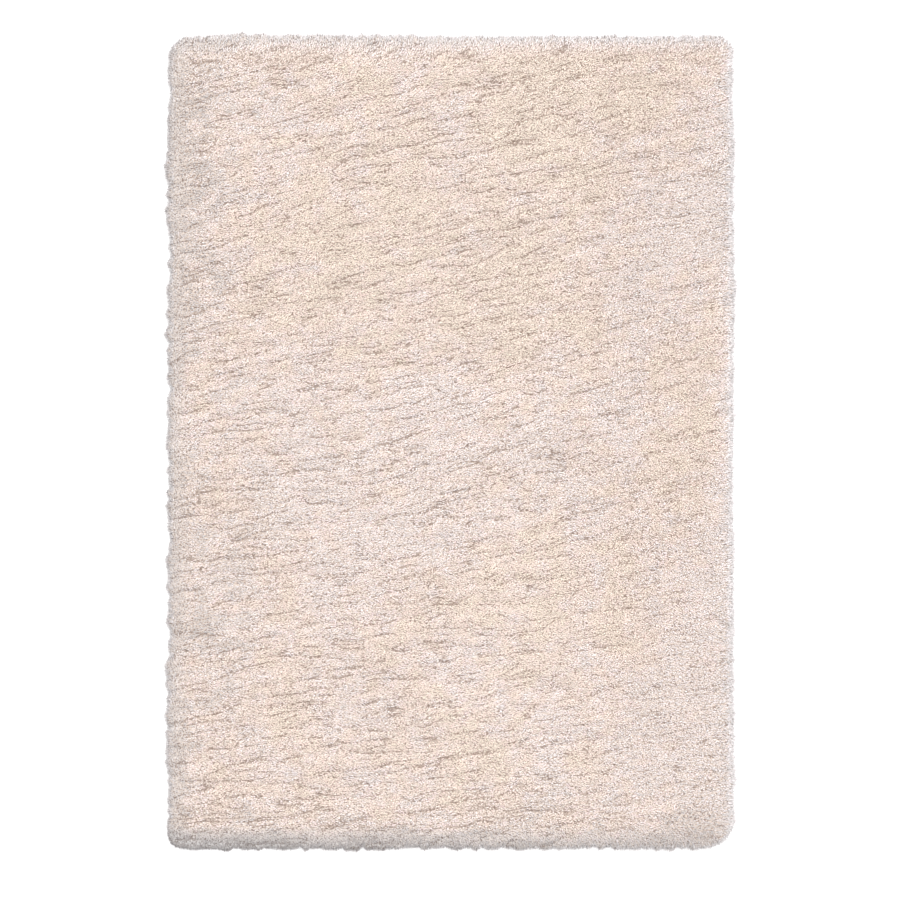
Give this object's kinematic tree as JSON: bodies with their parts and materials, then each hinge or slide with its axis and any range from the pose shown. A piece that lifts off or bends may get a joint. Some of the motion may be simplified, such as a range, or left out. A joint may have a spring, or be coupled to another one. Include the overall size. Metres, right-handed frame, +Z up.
{
  "type": "shag rug",
  "caption": "Rectangular cream shag rug lying flat, with dense long cut pile in low banks and partings, rounded corners and a rim of locks resting on the floor.",
  "frame": {"origin": "centre of the underside, on the floor", "axes": "+X across the rug's short side, to the right in the picture; +Y along its long side, upwards in the picture; +Z up, out of the pile"},
  "size_m": [1.61, 2.31, 0.0468],
  "materials": {
    "pile_yarn": "matte cream shag pile, heat-set synthetic yarn"
  },
  "bodies": {
    "root": {"shag_rug": "pile_yarn"}
  },
  "joints": []
}
